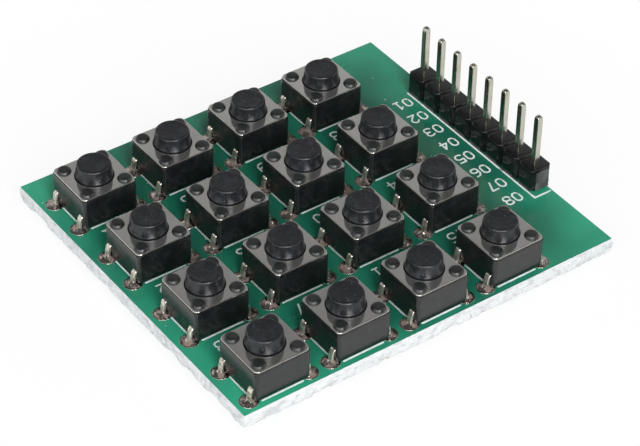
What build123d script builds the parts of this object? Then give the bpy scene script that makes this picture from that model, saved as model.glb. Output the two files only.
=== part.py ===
from build123d import *
import os
from math import atan, cos, degrees, hypot, pi, radians, tan

# A 4 by 4 push-button matrix keypad on a circuit board, with a pin header along its back edge.
# Millimetres. X runs along the header, Y from the front edge to the header, Z up.
# The origin is under the middle of the whole module, at the level of the leg tips it stands on.
# What is round and repeated is drawn as a regular polygon, so that sixteen switches stay light.

# Grid of switches
columns = 4
rows = 4
column_pitch = 9.6
row_pitch = 8.93

# Circuit board, measured across its green top face
left_margin = 6.5  # edge to the middle of the first column
right_margin = 3.6
front_margin = 4.65
back_margin = 11.15
board_thickness = 1.6
edge_web = 0.15  # how far the rough middle of a snapped edge stands out past the faces
score_depth = 0.4  # depth of the score groove above and below that middle

# Button, a round plunger with a flange that the cover holds down
button_sides = 18
button_foot_radius = 1.85
button_taper = 8.5  # degrees
button_height = 1.5  # above the cover
button_edge = 0.15
button_travel = 0.25
button_clearance = 0.07  # between the button and the hole in the cover
flange_lip = 0.22
flange_thickness = 0.7
flange_clearance = 0.1

# Switch base, a moulded box with a cavity under the cover
body_wall = 0.83
body_corner = 0.25
body_height = 3.15
floor_over_strip = 0.55
pad_height = 0.3  # raised pad under the base, which keeps its edges off the board
pad_inset = 1.3  # from the sides of the base to those of the pad

# Cover plate and the melted stakes that hold it
cover_thickness = 0.25
cover_corner = 0.3
cover_inset = 0.03
stake_inset = 0.9  # from the sides of the base to the middle of a stake
stake_width = 0.75
stake_clearance = 0.05
stake_head_width = 1.42
stake_head_height = 0.3

# Snap dome under the button
dome_stroke_reserve = 0.35  # height that the dome keeps when it is pressed flat
dome_thickness = 0.08
dome_top_width = 1.2
dome_clearance = 0.15

# Terminal strips, each bent down into two legs
leg_width = 0.6
strip_thickness = 0.25
leg_inset = 0.75  # from the side of the base to the middle of a leg
leg_standoff = 0.25  # from the face of the base to the middle of a leg
leg_shoulder = 0.55  # height over which a strip bends down into a leg
leg_lean = 0.18  # how far a leg leans in towards the base over that height
leg_below_board = 1.3
hole_sides = 6
hole_clearance = 0.08

# Pin header
header_pins = 8
header_pitch = 2.54
header_from_left = 10.25  # board edge to the middle of the first pin
header_from_back = 0.85  # board edge to the row of pins
housing_width = 2.5
housing_height = 2.5
housing_notch = 0.3
pin_width = 0.64
pin_above_housing = 5.8
pin_below_board = 1.2
pin_point_length = 0.45
pin_point_width = 0.3

# Sizes that follow
board_width = left_margin + (columns - 1) * column_pitch + right_margin
board_depth = front_margin + (rows - 1) * row_pitch + back_margin
flange_width = 2 * (button_foot_radius + flange_lip)
cavity_width = flange_width + 2 * flange_clearance
body_width = cavity_width + 2 * body_wall
dome_height = button_travel + dome_stroke_reserve
body_top = pad_height + body_height
cavity_floor = body_top - flange_thickness - dome_height
strip_top = cavity_floor - floor_over_strip
leg_x = body_width / 2 - leg_inset
leg_y = body_width / 2 + leg_standoff
stake_place = body_width / 2 - stake_inset
leg_hole_width = hypot(leg_width, strip_thickness) + 2 * hole_clearance
pin_hole_width = hypot(pin_width, pin_width) + 2 * hole_clearance

# Levels and places on the board
board_bottom = leg_below_board
board_top = board_bottom + board_thickness
housing_overhang = housing_width / 2 - header_from_back
back_reach = max(edge_web, housing_overhang)
board_middle_y = (edge_web - back_reach) / 2
board_left = -board_width / 2
board_front = board_middle_y - board_depth / 2
header_y = board_front + board_depth - header_from_back
pin_xs = [board_left + header_from_left + i * header_pitch for i in range(header_pins)]


def switch_places():
    """Row number, column number and middle of each switch on the board's top face."""
    for row in range(rows):
        for column in range(columns):
            x = board_left + left_margin + column * column_pitch
            y = board_front + front_margin + row * row_pitch
            yield row + 1, column + 1, Pos(x, y, board_top)


def corners(x, y):
    """The four points at plus and minus x and y."""
    return [(x, y), (-x, y), (-x, -y), (x, -y)]


def octagon(width):
    """An eight-sided face, width across its flats, with flats square to X and Y."""
    return RegularPolygon(width / 2, 8, major_radius=False, rotation=22.5)


def round_hole(width):
    """A hole right through the board, width across its flats."""
    return extrude(RegularPolygon(width / 2, hole_sides, major_radius=False), board_thickness, both=True)


def cornered_square(width, corner):
    """A square face with its corners cut off."""
    return chamfer(Rectangle(width, width).vertices(), corner)


def circuit_board():
    """The board: a slab with scored and snapped edges, and a hole for each leg and pin."""
    middle = board_thickness - 2 * score_depth
    outline = Rectangle(board_width + 2 * edge_web, board_depth + 2 * edge_web)
    slope = degrees(atan(edge_web / score_depth))
    upper = extrude(Pos(0, 0, middle / 2) * outline, score_depth, taper=slope)
    board = extrude(outline, middle / 2, both=True) + upper + mirror(upper, Plane.XY)
    board = Pos(0, board_middle_y, board_bottom + board_thickness / 2) * board
    leg_hole, pin_hole = round_hole(leg_hole_width), round_hole(pin_hole_width)
    leg_holes = [Pos(x, y, 0) * leg_hole for x, y in corners(leg_x, leg_y)]
    holes = [place * hole for _, _, place in switch_places() for hole in leg_holes]
    holes += [Pos(x, header_y, board_top) * pin_hole for x in pin_xs]
    return board - holes


def switch_base():
    """The moulded base: a box on a raised pad, with a cavity, channels for the strips and four staked posts."""
    pad_width = body_width - 2 * pad_inset
    base = Pos(0, 0, pad_height) * extrude(cornered_square(body_width, body_corner), body_height)
    base += extrude(Rectangle(pad_width, pad_width), pad_height)
    base -= Pos(0, 0, cavity_floor) * extrude(octagon(cavity_width), body_height)
    channel = Box(leg_width, body_width, strip_thickness)
    base -= [Pos(x, 0, strip_top - strip_thickness / 2) * channel for x in (-leg_x, leg_x)]
    stake = extrude(Rectangle(stake_width, stake_width), cover_thickness)
    stake += Pos(0, 0, cover_thickness) * extrude(octagon(stake_head_width), stake_head_height)
    for x, y in corners(stake_place, stake_place):
        base += Pos(x, y, body_top) * stake
    return base


def switch_cover():
    """The flat steel plate on the base, with a round hole for the button and one for each stake."""
    cover = extrude(cornered_square(body_width - 2 * cover_inset, cover_corner), cover_thickness)
    cover -= extrude(RegularPolygon(button_foot_radius + button_clearance, button_sides), cover_thickness)
    hole_width = stake_width + 2 * stake_clearance
    stake_hole = extrude(Rectangle(hole_width, hole_width), cover_thickness)
    cover -= [Pos(x, y, 0) * stake_hole for x, y in corners(stake_place, stake_place)]
    return Pos(0, 0, body_top) * cover


def button():
    """The button: a tapered round plunger that stands on a flange as wide as the cavity allows."""
    foot = RegularPolygon(button_foot_radius, button_sides)
    side_height = cover_thickness + button_height - button_edge
    top_radius = button_foot_radius - side_height * tan(radians(button_taper)) / cos(pi / button_sides)
    edge = extrude(RegularPolygon(top_radius, button_sides), button_edge, taper=45)
    plunger = extrude(foot, side_height, taper=button_taper) + Pos(0, 0, side_height) * edge
    flange = extrude(octagon(flange_width), flange_thickness)
    return Pos(0, 0, body_top - flange_thickness) * (flange + Pos(0, 0, flange_thickness) * plunger)


def snap_dome():
    """The sprung contact disc: a shallow thin shell that stands on the floor of the cavity."""
    rim = cavity_width - 2 * dome_clearance
    slope = degrees(atan((rim - dome_top_width) / 2 / dome_height))
    outer = extrude(octagon(rim), dome_height, taper=slope)
    hollow = extrude(octagon(rim - 2 * dome_thickness), dome_height - dome_thickness, taper=slope)
    return Pos(0, 0, cavity_floor) * (outer - hollow)


def terminal_strips():
    """Two brass strips that cross the base and bend down outside it into legs."""
    tip = -board_thickness - leg_below_board
    outside = leg_y + strip_thickness / 2
    half = [(outside, tip), (outside, strip_top - leg_shoulder), (outside - leg_lean, strip_top)]
    line = Polyline(*half, *[(-y, z) for y, z in reversed(half)])
    outline = make_face(offset(line, strip_thickness, side=Side.LEFT, kind=Kind.INTERSECTION).edges())
    strip = extrude(Plane.YZ * outline, leg_width / 2, both=True)
    return [Pos(x, 0, 0) * strip for x in (-leg_x, leg_x)]


def header_housing():
    """The moulded strip: one unit for each pin, with notched corners where the units meet."""
    unit = chamfer(Rectangle(header_pitch, housing_width).vertices(), housing_notch)
    unit -= Rectangle(pin_width, pin_width)
    return Part() + [Pos(x, header_y, board_top) * extrude(unit, housing_height) for x in pin_xs]


def header_pin():
    """One square pin with a blunt point at each end, standing on the level of the board's top."""
    low = -board_thickness - pin_below_board + pin_point_length
    high = housing_height + pin_above_housing - pin_point_length
    section = Rectangle(pin_width, pin_width)
    slope = degrees(atan((pin_width - pin_point_width) / 2 / pin_point_length))
    point = extrude(section, pin_point_length, taper=slope)
    shaft = Pos(0, 0, low) * extrude(section, high - low)
    return shaft + Pos(0, 0, high) * point + Pos(0, 0, low) * mirror(point, Plane.XY)


def save(shape, node):
    """Write one node's solids to its own file."""
    export_step(shape, f"parts/{node}.step")


os.makedirs("parts", exist_ok=True)
save(circuit_board(), "circuit_board")
save(header_housing(), "header_housing")
save(Compound(children=[Pos(x, header_y, board_top) * header_pin() for x in pin_xs]), "header_pins")

base, cover, plunger, dome, strips = switch_base(), switch_cover(), button(), snap_dome(), terminal_strips()
for row, column, place in switch_places():
    save(place * base, f"switch_base_r{row}c{column}")
    save(place * plunger, f"button_r{row}c{column}")
    save(place * dome, f"snap_dome_r{row}c{column}")
for row in range(1, rows + 1):
    in_row = [place for at_row, _, place in switch_places() if at_row == row]
    covers = [place * cover for place in in_row]
    terminals = [place * strip for place in in_row for strip in strips]
    save(Compound(children=covers), f"switch_covers_r{row}")
    save(Compound(children=terminals), f"switch_terminals_r{row}")
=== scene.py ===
"""Looks of a push-button matrix keypad on a circuit board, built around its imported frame.

Every outline, profile and path is written in millimetres and scaled to metres when its mesh is made.
The frame's X runs along the pin header, Y from the front edge to the header's edge, and Z up.
"""

import logging
import math
from dataclasses import dataclass, field
from enum import Enum

import bmesh
import bpy
import numpy as np
from mathutils import Matrix, Vector

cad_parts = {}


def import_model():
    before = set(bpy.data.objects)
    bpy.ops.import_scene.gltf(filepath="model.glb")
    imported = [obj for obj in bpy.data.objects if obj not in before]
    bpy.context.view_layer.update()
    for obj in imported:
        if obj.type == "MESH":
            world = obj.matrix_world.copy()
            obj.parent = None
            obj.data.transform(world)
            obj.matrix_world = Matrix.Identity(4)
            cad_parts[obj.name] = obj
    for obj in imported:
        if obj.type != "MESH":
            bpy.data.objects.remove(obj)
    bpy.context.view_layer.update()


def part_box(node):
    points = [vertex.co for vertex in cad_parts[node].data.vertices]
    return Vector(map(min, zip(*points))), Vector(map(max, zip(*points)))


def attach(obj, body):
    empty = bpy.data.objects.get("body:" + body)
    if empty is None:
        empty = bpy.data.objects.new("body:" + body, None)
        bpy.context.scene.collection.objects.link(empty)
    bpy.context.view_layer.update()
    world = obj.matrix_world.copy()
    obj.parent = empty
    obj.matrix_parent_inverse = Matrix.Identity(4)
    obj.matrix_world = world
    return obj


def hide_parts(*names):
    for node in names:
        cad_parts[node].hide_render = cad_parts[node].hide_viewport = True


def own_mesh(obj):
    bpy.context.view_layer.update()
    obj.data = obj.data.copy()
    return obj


Array = np.ndarray
Socket = bpy.types.NodeSocket
Piece = bpy.types.Object
Pair = tuple[float, float]
Triple = tuple[float, float, float]
Screen = tuple[int, int, int]
Colour = tuple[float, float, float, float]
Line = tuple[Array, float]

LOG = logging.getLogger("keypad")
MM = 0.001
TURN = 2 * math.pi
SAME_POINT = 2e-7
NO_LENGTH = 1e-8


# Shapes worked out as arrays of points


class Loop(Enum):
    """Whether the columns of a grid of points join up, as round a tube, or end at two edges."""

    OPEN = "open"
    CLOSED = "closed"


def circle(radius: float, sides: int, centre: Pair = (0.0, 0.0)) -> Array:
    """Points round a circle, anticlockwise: cosine and sine of evenly spaced angles times the radius."""
    angle = np.arange(sides) * TURN / sides
    return np.c_[np.cos(angle), np.sin(angle)] * radius + centre


def four_corners(x: float, y: float) -> list[Pair]:
    """The four points at plus and minus x and y, anticlockwise."""
    return [(x, y), (-x, y), (-x, -y), (x, -y)]


def rounded_square(width: float, radius: float, steps: int = 9, ease: float = 0.04) -> Array:
    """Outline of a square with rounded corners: four quarter circles, one round each corner's middle.

    A point just before and just after each quarter keeps the straight sides flat where they are shaded.

    Args:
        width: Width across the flats, in millimetres.
        radius: Radius of the corners.
        steps: Points on each corner.
        ease: Length along the sides from a corner's ends to the two extra points.

    Returns:
        The outline's points, anticlockwise.
    """
    inner = width / 2 - radius
    angle = np.linspace(0, TURN / 4, steps)
    angle = np.concatenate([angle[:1], angle, angle[-1:]])[None, :] + np.arange(4)[:, None] * TURN / 4
    along = np.zeros(steps + 2)
    along[0], along[-1] = -ease, ease
    middle = np.array(four_corners(inner, inner))
    outward = np.stack([np.cos(angle), np.sin(angle)], -1)
    forward = np.stack([-np.sin(angle), np.cos(angle)], -1)
    return (middle[:, None, :] + radius * outward + along[None, :, None] * forward).reshape(-1, 2)


def inset(outline: Array, distance: float) -> Array:
    """An outline moved inwards: each point goes back along the sum of its two edges' outward normals.

    Args:
        outline: Points of a closed anticlockwise outline.
        distance: How far each edge moves inwards, or outwards where it is negative.

    Returns:
        The moved outline, with as many points.
    """
    edge = np.roll(outline, -1, 0) - outline
    normal = np.c_[edge[:, 1], -edge[:, 0]] / np.linalg.norm(edge, axis=1)[:, None]
    before = np.roll(normal, 1, 0)
    share = 1 + np.sum(normal * before, 1, keepdims=True)
    return outline - distance * (normal + before) / share


def stacked(*rings: tuple[Array, float]) -> Array:
    """Flat outlines, each raised to its own height, as an array of ring, point and coordinate."""
    return np.array([np.c_[outline, np.full(len(outline), height)] for outline, height in rings])


def wall_rings(outline: Array, bottom: float, top: float, foot: float, rim: float) -> Array:
    """Rings of an upright wall whose lower and upper edges are quarter circles that lean inwards.

    A ring just above the lower curve and one just below the upper keep the wall between them flat.

    Args:
        outline: The wall's outline, anticlockwise.
        bottom: Height of the lower edge.
        top: Height of the upper edge.
        foot: Radius of the lower edge, negative where the wall is that of a hole.
        rim: Radius of the upper edge, negative where the wall is that of a hole.

    Returns:
        The rings from the bottom up, as an array of ring, point and coordinate.
    """
    curve = [(1 - math.sin(a), 1 - math.cos(a)) for a in np.linspace(0, TURN / 4, 5)]
    low, high = bottom + abs(foot), top - abs(rim)
    ease = 0.1 * (high - low)
    lower = [(inset(outline, foot * s), bottom + abs(foot) * c) for s, c in curve]
    upper = [(inset(outline, rim * s), top - abs(rim) * c) for s, c in reversed(curve)]
    return stacked(*lower, (outline, low + ease), (outline, high - ease), *upper)


def turned(profile: list[Pair], sides: int) -> Array:
    """A turned form: each radius and height of the profile becomes a circle of points.

    Args:
        profile: Pairs of radius and height. A radius of nothing closes the form at a pole.
        sides: Points round each circle.

    Returns:
        Array of ring, point and coordinate.
    """
    radius, height = np.array(profile).T
    flat = radius[:, None, None] * circle(1.0, sides)[None, :, :]
    return np.concatenate([flat, np.broadcast_to(height[:, None, None], (len(radius), sides, 1))], 2)


def filled(outline: Array, holes: list[Array]) -> tuple[Array, Array]:
    """Triangles that fill an outline and leave its holes open, from Blender's fill of a flat curve.

    Args:
        outline: The outer outline, in millimetres.
        holes: Outlines of the holes.

    Returns:
        The corner points, and the three corners of each triangle.
    """
    curve = bpy.data.curves.new("fill", "CURVE")
    curve.dimensions, curve.fill_mode = "2D", "BOTH"
    for loop in (outline, *holes):
        spline = curve.splines.new("POLY")
        spline.points.add(len(loop) - 1)
        spline.points.foreach_set("co", np.c_[loop, np.zeros(len(loop)), np.ones(len(loop))].ravel())
        spline.use_cyclic_u = True
    carrier = linked("fill", curve)
    seen = carrier.evaluated_get(bpy.context.evaluated_depsgraph_get())
    mesh = bpy.data.meshes.new_from_object(seen)
    mesh.calc_loop_triangles()
    points = np.zeros(len(mesh.vertices) * 3)
    corners = np.zeros(len(mesh.loop_triangles) * 3, dtype=np.int32)
    mesh.vertices.foreach_get("co", points)
    mesh.loop_triangles.foreach_get("vertices", corners)
    bpy.data.objects.remove(carrier)
    bpy.data.curves.remove(curve)
    bpy.data.meshes.remove(mesh)
    return points.reshape(-1, 3)[:, :2], corners.reshape(-1, 3)


def linked(name: str, data: bpy.types.ID) -> Piece:
    """A new object in the scene.

    Args:
        name: Its name.
        data: The mesh, curve, lamp or camera that it shows.

    Returns:
        The object, at the origin.
    """
    made = bpy.data.objects.new(name, data)
    bpy.context.scene.collection.objects.link(made)
    return made


@dataclass(frozen=True)
class RoughField:
    """A repeatable uneven surface: random heights on a lattice, joined by smooth steps between them."""

    seed: int
    cells: int = 256

    def sample(self, across: Array, along: Array) -> Array:
        """Heights between minus one and one at places counted in lattice cells.

        Args:
            across: First coordinate of each place.
            along: Second coordinate of each place, of the same shape.

        Returns:
            The heights, of that shape.
        """
        lattice = np.random.default_rng(self.seed).uniform(-1, 1, (self.cells, self.cells))
        i, j = np.floor(across).astype(int), np.floor(along).astype(int)
        u, v = across - i, along - j
        u, v = u * u * (3 - 2 * u), v * v * (3 - 2 * v)
        i0, i1, j0, j1 = i % self.cells, (i + 1) % self.cells, j % self.cells, (j + 1) % self.cells
        near = lattice[i0, j0] * (1 - u) + lattice[i1, j0] * u
        far = lattice[i0, j1] * (1 - u) + lattice[i1, j1] * u
        return near * (1 - v) + far * v


@dataclass
class Shell:
    """Gathers the surfaces of one piece, in millimetres, and makes them one mesh in metres."""

    name: str
    finishes: list["Finish"]
    _surfaces: list[tuple[Array, Array, int, bool]] = field(default_factory=list)

    def grid(self, points: Array, loop: Loop = Loop.CLOSED, finish: int = 0) -> None:
        """Adds a grid of points as four-sided faces between neighbouring rows and columns.

        Args:
            points: Array of row, column and coordinate.
            loop: Whether the last column joins the first.
            finish: Which of the piece's finishes the faces have.
        """
        rows, columns = points.shape[:2]
        index = np.arange(rows * columns).reshape(rows, columns)
        last = columns if loop is Loop.CLOSED else columns - 1
        here, there = index[:, :last], np.roll(index, -1, 1)[:, :last]
        faces = np.stack([here[:-1], there[:-1], there[1:], here[1:]], -1).reshape(-1, 4)
        self._surfaces.append((points.reshape(-1, 3), faces, finish, True))

    def flat(self, outline: Array, holes: list[Array], height: float) -> None:
        """Adds a level face in the piece's first finish: an outline with holes, at one height."""
        points, corners = filled(outline, holes)
        self._surfaces.append((stacked((points, height))[0], corners, 0, False))

    def build(self, crease: float = 32.0) -> Piece:
        """Makes the piece: merges what meets, turns the faces outwards and shades them.

        Args:
            crease: Angle in degrees above which two faces meet at a sharp edge.

        Returns:
            The new object, at the origin.
        """
        points, faces, finish, curved, count = [], [], [], [], 0
        for corners, sides, kind, smooth in self._surfaces:
            points.append(corners)
            faces += (sides + count).tolist()
            finish += [kind] * len(sides)
            curved += [smooth] * len(sides)
            count += len(corners)
        mesh = bpy.data.meshes.new(self.name)
        mesh.from_pydata(np.concatenate(points) * MM, [], faces)
        mesh.polygons.foreach_set("material_index", finish)
        mesh.polygons.foreach_set("use_smooth", curved)
        solid = bmesh.new()
        solid.from_mesh(mesh)
        bmesh.ops.remove_doubles(solid, verts=solid.verts, dist=SAME_POINT)
        bmesh.ops.dissolve_degenerate(solid, edges=solid.edges, dist=NO_LENGTH)
        bmesh.ops.recalc_face_normals(solid, faces=solid.faces)
        solid.to_mesh(mesh)
        solid.free()
        smooth = np.zeros(len(mesh.polygons), dtype=bool)
        mesh.polygons.foreach_get("use_smooth", smooth)
        mesh.set_sharp_from_angle(angle=math.radians(crease))
        mesh.polygons.foreach_set("use_smooth", smooth)
        piece = linked(self.name, mesh)
        for finish in self.finishes:
            mesh.materials.append(finish.material())
        LOG.info("%s: %d faces", self.name, len(mesh.polygons))
        return piece


# Finishes


def from_screen(colour: Screen) -> Colour:
    """A colour as seen on a screen, from 0 to 255, turned into the linear light that a shader takes."""
    share = np.array(colour) / 255
    linear = np.where(share <= 0.04045, share / 12.92, ((share + 0.055) / 1.055) ** 2.4)
    return (*linear.tolist(), 1.0)


@dataclass(frozen=True)
class Grain:
    """Noise over a piece: how many patches lie in a millimetre, how much finer detail they have, and how
    many there are along each axis relative to the first number."""

    per_mm: float
    detail: float
    stretch: Triple | None = field(default=None, kw_only=True)


@dataclass(frozen=True)
class Patches(Grain):
    """Noise from low to high, stretched to another range and held at its ends."""

    low: float = 0.3
    high: float = 0.7
    to: Pair = (0.0, 1.0)


@dataclass(frozen=True)
class Relief(Grain):
    """Noise as a fine relief, with the real depth that it stands for and the share of it that shows."""

    depth_mm: float = 0.01
    shown: float = 0.5


@dataclass
class Wiring:
    """Adds nodes to one material or world and joins them."""

    tree: bpy.types.NodeTree

    def node(self, kind: str, inputs: dict | None = None, **settings: object) -> bpy.types.Node:
        """Adds a node.

        Args:
            kind: The node's type name.
            inputs: Value of, or socket that feeds, each named or numbered input.
            **settings: Values of the node's own properties.

        Returns:
            The new node.
        """
        made = self.tree.nodes.new(kind)
        for name, value in settings.items():
            setattr(made, name, value)
        for name, value in (inputs or {}).items():
            if isinstance(value, Socket):
                self.tree.links.new(value, made.inputs[name])
            else:
                made.inputs[name].default_value = value
        return made

    def noise(self, grain: Grain) -> Socket:
        """Uneven values between nothing and one.

        Args:
            grain: How fine and how detailed they are.

        Returns:
            The values' socket.
        """
        place = self.node("ShaderNodeTexCoord").outputs["Object"]
        if grain.stretch is not None:
            place = self.node("ShaderNodeMapping", {"Vector": place, "Scale": grain.stretch}).outputs[0]
        inputs = {"Vector": place, "Scale": grain.per_mm / MM, "Detail": grain.detail, "Roughness": 0.55}
        return self.node("ShaderNodeTexNoise", inputs).outputs[0]

    def spread(self, value: Socket, low: float, high: float, to: Pair) -> Socket:
        """Values from low to high, stretched to another range and held at its ends."""
        inputs = {"Value": value, "From Min": low, "From Max": high, "To Min": to[0], "To Max": to[1]}
        return self.node("ShaderNodeMapRange", inputs).outputs[0]

    def amount(self, kind: Patches | float) -> Socket | float:
        """The values of some patches. A plain number stays as it is."""
        even = not isinstance(kind, Patches)
        return kind if even else self.spread(self.noise(kind), kind.low, kind.high, kind.to)

    def away(self, reach: Pair, to: Pair = (0.0, 1.0)) -> Socket:
        """Distance from the piece's origin, stretched from a range in millimetres to another range."""
        place = self.node("ShaderNodeTexCoord").outputs["Object"]
        length = self.node("ShaderNodeVectorMath", {0: place}, operation="LENGTH").outputs["Value"]
        return self.spread(length, reach[0] * MM, reach[1] * MM, to)

    def math(self, operation: str, first: Socket, second: Socket | float, clamp: bool = False) -> Socket:
        """Two numbers joined by an operation, and held between nothing and one if asked."""
        inputs = {0: first, 1: second}
        return self.node("ShaderNodeMath", inputs, operation=operation, use_clamp=clamp).outputs[0]

    def blend(self, share: Socket, first: object, second: object) -> Socket:
        """Mixes two colours by a share between nothing and one."""
        return self.node("ShaderNodeMix", {0: share, 6: first, 7: second}, data_type="RGBA").outputs[2]

    def bump(self, relief: Relief) -> Socket:
        """The normal over a fine relief."""
        inputs = {"Height": self.noise(relief), "Distance": relief.depth_mm * MM, "Strength": relief.shown}
        return self.node("ShaderNodeBump", inputs).outputs[0]


@dataclass(frozen=True)
class Finish:
    """One material: a ground colour under patches of other colours, with an uneven gloss and a relief.

    How clean it is says which share of it is bare metal. Its shine is the light that plastic mirrors.
    """

    name: str
    ground: Screen
    layers: tuple[tuple[Patches, Screen], ...] = ()
    gloss: Patches | float = 0.5
    relief: Relief | None = None
    clean: Patches | float = 0.0
    shine: float = 0.5

    def material(self) -> bpy.types.Material:
        """The finish's material, made at the first call and kept apart from the frame's own by its name.

        Returns:
            The material.
        """
        name = f"{self.name}_look"
        found = bpy.data.materials.get(name)
        if found is not None:
            return found
        made = bpy.data.materials.new(name)
        made.use_nodes = True
        made.node_tree.nodes.clear()
        wiring = Wiring(made.node_tree)
        wiring.node("ShaderNodeOutputMaterial", {"Surface": self.surface(wiring)})
        return made

    def under(self, wiring: Wiring) -> Socket | Colour:
        """The colour under the layers."""
        return from_screen(self.ground)

    def colour(self, wiring: Wiring) -> Socket | Colour:
        """The ground with each layer over it where the layer's patches are.

        Args:
            wiring: Adds the nodes.

        Returns:
            The colour's socket, or the ground's colour where there is no layer.
        """
        colour = self.under(wiring)
        for patches, over in self.layers:
            colour = wiring.blend(wiring.amount(patches), colour, from_screen(over))
        return colour

    def surface(self, wiring: Wiring) -> Socket:
        """The finish's shader, with each constant on the shader's own socket.

        Args:
            wiring: Adds the nodes.

        Returns:
            The shader's socket.
        """
        inputs = {
            "Base Color": self.colour(wiring),
            "Metallic": wiring.amount(self.clean),
            "Roughness": wiring.amount(self.gloss),
            "Specular IOR Level": self.shine,
        }
        if self.relief is not None:
            inputs["Normal"] = wiring.bump(self.relief)
        return wiring.node("ShaderNodeBsdfPrincipled", inputs).outputs[0]


@dataclass(frozen=True)
class SolderMask(Finish):
    """Glossy green lacquer, mottled at random by soft patches of a paler green.

    The paler green also comes in with the distance from the board's middle: painted light, for the open
    corners, which catch more light than the middle among the switches.
    """

    mottle_and_lit_green: Screen = (52, 160, 126)
    # painted light: the green grows paler between these distances from the board's middle, towards the
    # corners
    lit_corner_reach: Pair = (17.0, 28.0)
    uneven: Patches = Patches(0.13, 1.0, 0.4, 0.62, (-0.2, 0.2))

    def under(self, wiring: Wiring) -> Socket:
        """Two greens, blended by soft patches and, as painted light, by the distance from the board's middle.
        """
        # painted light: the paler green's share grows with the distance from the board's middle, plus soft
        # patches at random
        bare = wiring.math("ADD", wiring.away(self.lit_corner_reach), wiring.amount(self.uneven), True)
        return wiring.blend(bare, from_screen(self.ground), from_screen(self.mottle_and_lit_green))


@dataclass(frozen=True)
class StudioFloor(Finish):
    """A pale floor that the camera and shiny surfaces see as white paper, with a weak shadow on it."""

    shadow_share: float = 0.12
    shadow_reach: Pair = (20.0, 50.0)

    def surface(self, wiring: Wiring) -> Socket:
        """Matt paper for the light that it throws back, and mostly plain white where it is looked at.

        Args:
            wiring: Adds the nodes.

        Returns:
            The shader's socket.
        """
        paper = wiring.node("ShaderNodeBsdfDiffuse", {"Color": self.colour(wiring)}).outputs[0]
        white = wiring.node("ShaderNodeEmission", {"Strength": 1.0}).outputs[0]
        ray = wiring.node("ShaderNodeLightPath").outputs
        looked = wiring.math("MAXIMUM", ray["Is Camera Ray"], ray["Is Glossy Ray"])
        share = wiring.math("MULTIPLY", wiring.away(self.shadow_reach, (1 - self.shadow_share, 1.0)), looked)
        return wiring.node("ShaderNodeMixShader", {0: share, 1: paper, 2: white}).outputs[0]


@dataclass(frozen=True)
class Moulding(Finish):
    """Black moulded plastic with worn patches, a soft gloss and a faint unevenness from the mould."""

    @classmethod
    def of(cls, name: str, new: Screen, worn: Screen, gloss: Pair, grain_mm: float,
           shine: float = 0.5) -> Finish:
        """The plastic by its colours where it is new and worn, the range of its gloss and its grain."""
        layers = ((Patches(0.9, 4.0, 0.45, 0.75), worn),)
        return cls(name, new, layers, Patches(0.9, 4.0, to=gloss), Relief(7.0, 2.0, grain_mm), shine=shine)


@dataclass(frozen=True)
class BrightMetal(Finish):
    """Bright metal: plated steel, tin or solder, with a tarnish in patches and a drawn or cast grain.

    Where it isn't quite clean, a thin haze scatters the rest of the light.
    """

    @classmethod
    def of(cls, name: str, bright: Screen, dull: Screen, tarnish: Triple, gloss: Pair, grain: Pair,
           clean: float = 1.0) -> Finish:
        """One kind of metal.

        Args:
            name: The finish's name.
            bright: Colour of the clean metal.
            dull: Colour of the tarnish.
            tarnish: The range of noise over which it comes in, and its patches in a millimetre.
            gloss: The range of its roughness.
            grain: Its grains in a millimetre, and their depth in millimetres.
            clean: Share that is bare metal.

        Returns:
            The finish.
        """
        layers = ((Patches(tarnish[2], 4.0, *tarnish[:2]), dull),)
        relief = Relief(grain[0], 3.0, grain[1], 0.4)
        return cls(name, bright, layers, Patches(1.7, 3.0, to=gloss), relief, clean)


@dataclass(frozen=True)
class FluxedSolder(Finish):
    """Lumpy solder under patches of brown flux: metal where the flux is thin, glossy where it is thick."""

    @classmethod
    def of(cls, name: str, metal: Screen, flux: Screen) -> Finish:
        """The solder by the colours of its metal and its flux."""
        thick = {"per_mm": 1.4, "detail": 3.0, "low": 0.52, "high": 0.6}
        gloss, relief = Patches(1.7, 2.0, to=(0.16, 0.3)), Relief(1.7, 2.0, 0.16, 0.8)
        return cls(name, metal, ((Patches(**thick), flux),), gloss, relief, Patches(**thick, to=(1.0, 0.25)))


GREEN_MASK = SolderMask(
    "green_mask", (28, 106, 84), ((Patches(2.6, 1.0, 0.79, 0.81), (176, 205, 190)),),
    gloss=Patches(0.5, 3.0, to=(0.16, 0.27)), relief=Relief(1.2, 2.0, 0.01, 0.25))
# Painted shade: the darker grey patches stand for shade in the hollows of the rough snapped edge.
LAMINATE = Finish(
    "bare_laminate", (199, 202, 203),
    ((Patches(1.1, 3.0, 0.5, 0.68, stretch=(1, 1, 1.6)), (172, 175, 177)),
     (Patches(2.0, 2.0, 0.45, 0.75, (0.0, 0.4), stretch=(1, 1, 5)), (188, 191, 192))),
    gloss=0.85, relief=Relief(2.0, 2.0, 0.08, 0.7, stretch=(1, 1, 5)))
WHITE_INK = Finish(
    "white_ink", (244, 252, 249), ((Patches(1.6, 2.0, 0.52, 0.75), (196, 226, 216)),), gloss=0.45)
BASE_PLASTIC = Moulding.of("base_plastic", (20, 21, 22), (34, 35, 36), (0.16, 0.3), 0.006)
MELTED_PLASTIC = Moulding.of("melted_plastic", (32, 34, 34), (48, 49, 48), (0.28, 0.38), 0.01, 0.42)
HEADER_PLASTIC = Moulding.of("header_plastic", (13, 14, 15), (20, 21, 22), (0.1, 0.2), 0.005, 0.42)
SNAPPED_PLASTIC = Moulding.of("snapped_plastic", (58, 59, 60), (98, 99, 99), (0.6, 0.8), 0.05)
BUTTON_PLASTIC = Finish(
    "button_plastic", (24, 25, 28),
    ((Patches(1.3, 5.0, 0.5, 0.72, (0.0, 0.8)), (46, 48, 55)),
     (Patches(7.0, 1.0, 0.7, 0.75, (0.0, 0.8)), (110, 113, 122))),
    gloss=Patches(2.2, 3.0, to=(0.26, 0.4)), relief=Relief(11.0, 2.0, 0.008), shine=0.44)
COVER_STEEL = BrightMetal.of(
    "cover_steel", (202, 201, 198), (192, 190, 186), (0.45, 0.8, 0.35), (0.05, 0.11), (2.2, 0.001), 0.91)
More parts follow.
